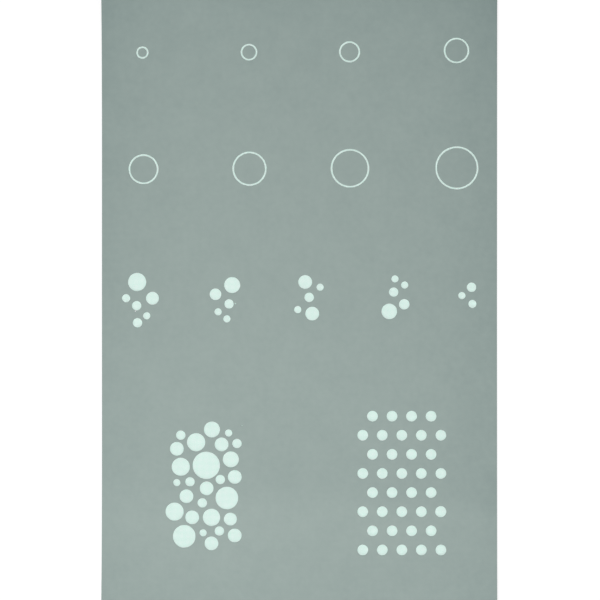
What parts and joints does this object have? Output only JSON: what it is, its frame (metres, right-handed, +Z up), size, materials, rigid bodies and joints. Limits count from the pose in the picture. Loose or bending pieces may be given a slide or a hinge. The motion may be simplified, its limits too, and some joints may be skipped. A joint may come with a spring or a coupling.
{
  "type": "screen stencil",
  "caption": "Flat mesh-backed stencil sheet: a thin film open in graded rings, sprays of dots, a bubble panel and a staggered dot grid, for pressing paint through.",
  "frame": {"origin": "middle of the sheet's underside", "axes": "+Y along the sheet's length towards the smallest ring, +X across its width to the right as the picture shows it, +Z up through the film side"},
  "size_m": [0.09, 0.14, 0.0002],
  "materials": {
    "mesh_cloth": "fine plain-woven polyester, pale mint white",
    "emulsion_film": "satin hardened emulsion, grey green"
  },
  "bodies": {
    "root": {"screen_mesh": "mesh_cloth", "stencil_film": "emulsion_film", "ring_island_1": "emulsion_film", "ring_island_2": "emulsion_film", "ring_island_3": "emulsion_film", "ring_island_4": "emulsion_film", "ring_island_5": "emulsion_film", "ring_island_6": "emulsion_film", "ring_island_7": "emulsion_film", "ring_island_8": "emulsion_film"}
  },
  "joints": []
}
